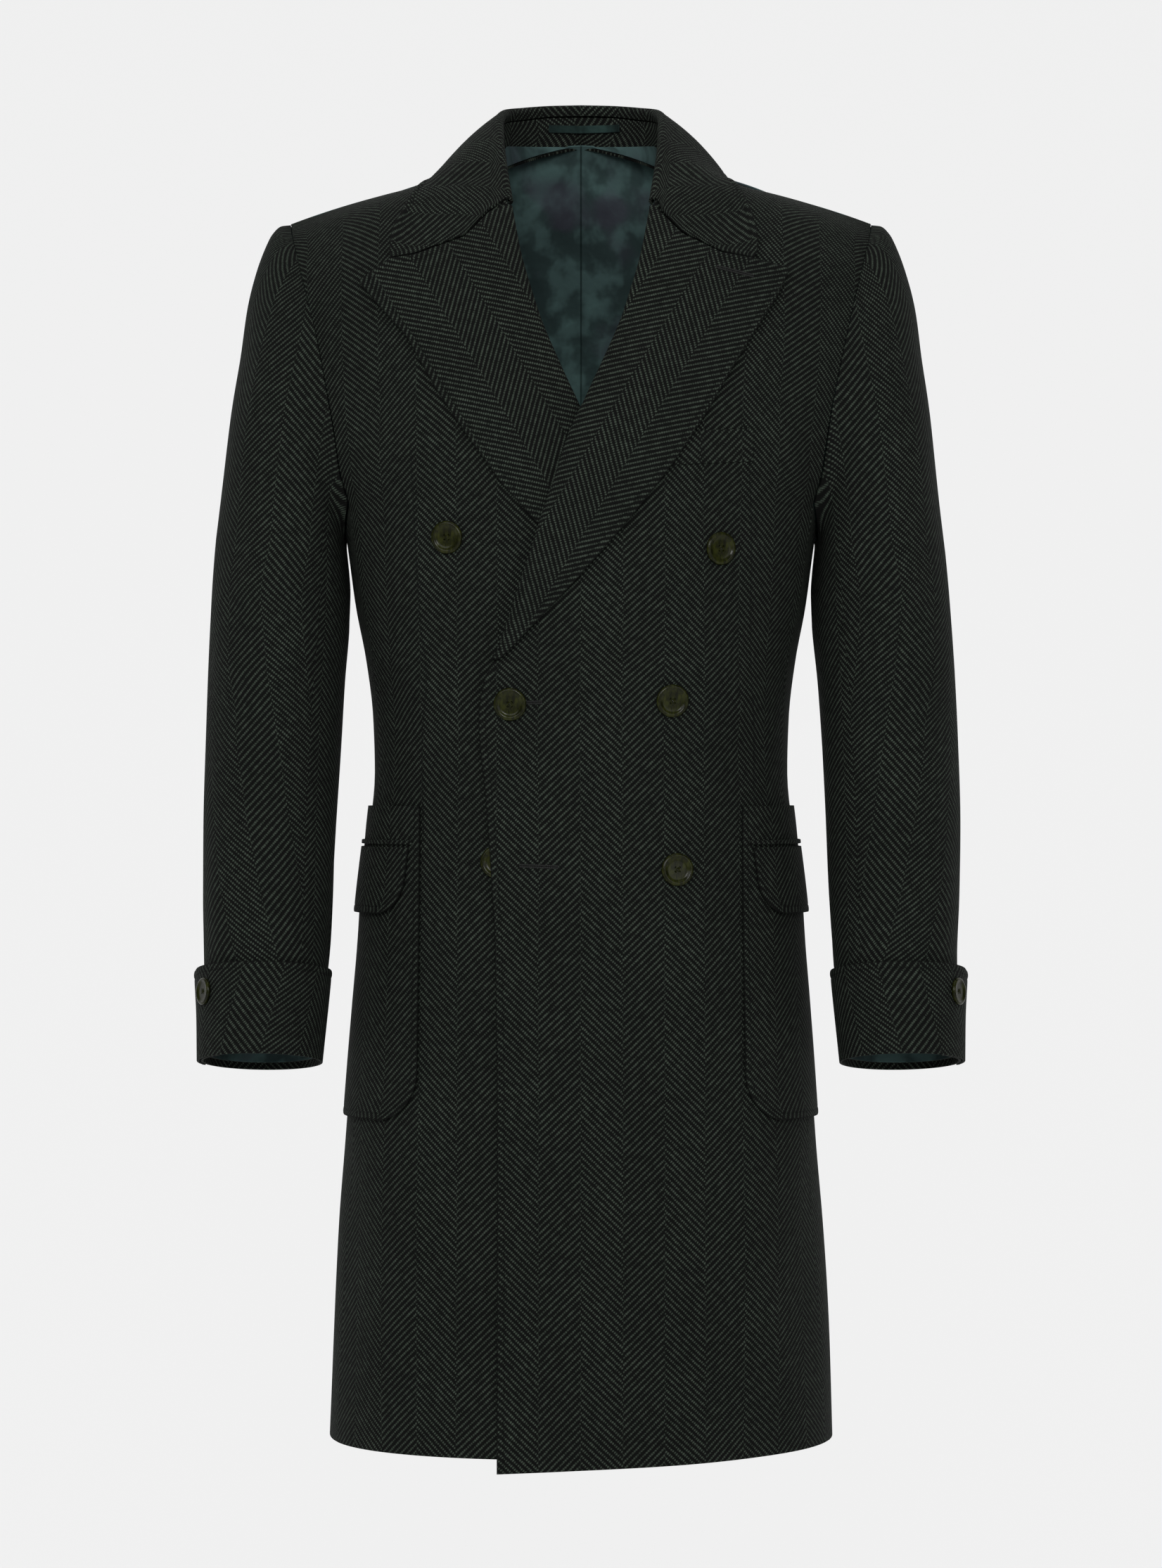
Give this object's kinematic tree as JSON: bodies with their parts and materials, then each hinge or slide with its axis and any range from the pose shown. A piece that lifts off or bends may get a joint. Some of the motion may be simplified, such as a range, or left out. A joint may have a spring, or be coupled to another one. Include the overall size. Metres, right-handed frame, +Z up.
{
  "type": "double-breasted coat",
  "caption": "Knee-length double-breasted overcoat in herringbone wool, with peaked lapels, turn-back cuffs and flapped patch pockets, filled out as worn.",
  "frame": {"origin": "middle of the shoulders at the base of the neck, where the wearer carries the coat", "axes": "+Z up, the front faces -Y, and the wearer's left is +X"},
  "size_m": [0.602, 0.2931, 1.0714],
  "materials": {
    "overcoat_cloth": "napped herringbone wool in near-black and grey-green",
    "satin_lining": "smooth dark green satin",
    "button_horn": "polished dark olive, horn-like"
  },
  "bodies": {
    "root": {"front_left": "overcoat_cloth", "front_right": "overcoat_cloth", "side_left": "overcoat_cloth", "side_right": "overcoat_cloth", "back_left": "overcoat_cloth", "back_right": "overcoat_cloth", "top_sleeve_left": "overcoat_cloth", "top_sleeve_right": "overcoat_cloth", "under_sleeve_left": "overcoat_cloth", "under_sleeve_right": "overcoat_cloth", "cuff_left": "overcoat_cloth", "cuff_right": "overcoat_cloth", "lapel_left": "overcoat_cloth", "lapel_right": "overcoat_cloth", "pocket_left": "overcoat_cloth", "pocket_right": "overcoat_cloth", "pocket_jet_left": "overcoat_cloth", "pocket_jet_right": "overcoat_cloth", "pocket_flap_left": "overcoat_cloth", "pocket_flap_right": "overcoat_cloth", "breast_welt": "overcoat_cloth", "collar_stand": "overcoat_cloth", "collar_fall": "overcoat_cloth", "hanger_loop": "satin_lining", "back_lining_left": "satin_lining", "back_lining_right": "satin_lining", "button_upper_left": "button_horn", "button_upper_right": "button_horn", "button_middle_left": "button_horn", "button_middle_right": "button_horn", "button_lower_left": "button_horn", "button_lower_right": "button_horn", "cuff_button_left": "button_horn", "cuff_button_right": "button_horn"}
  },
  "joints": []
}
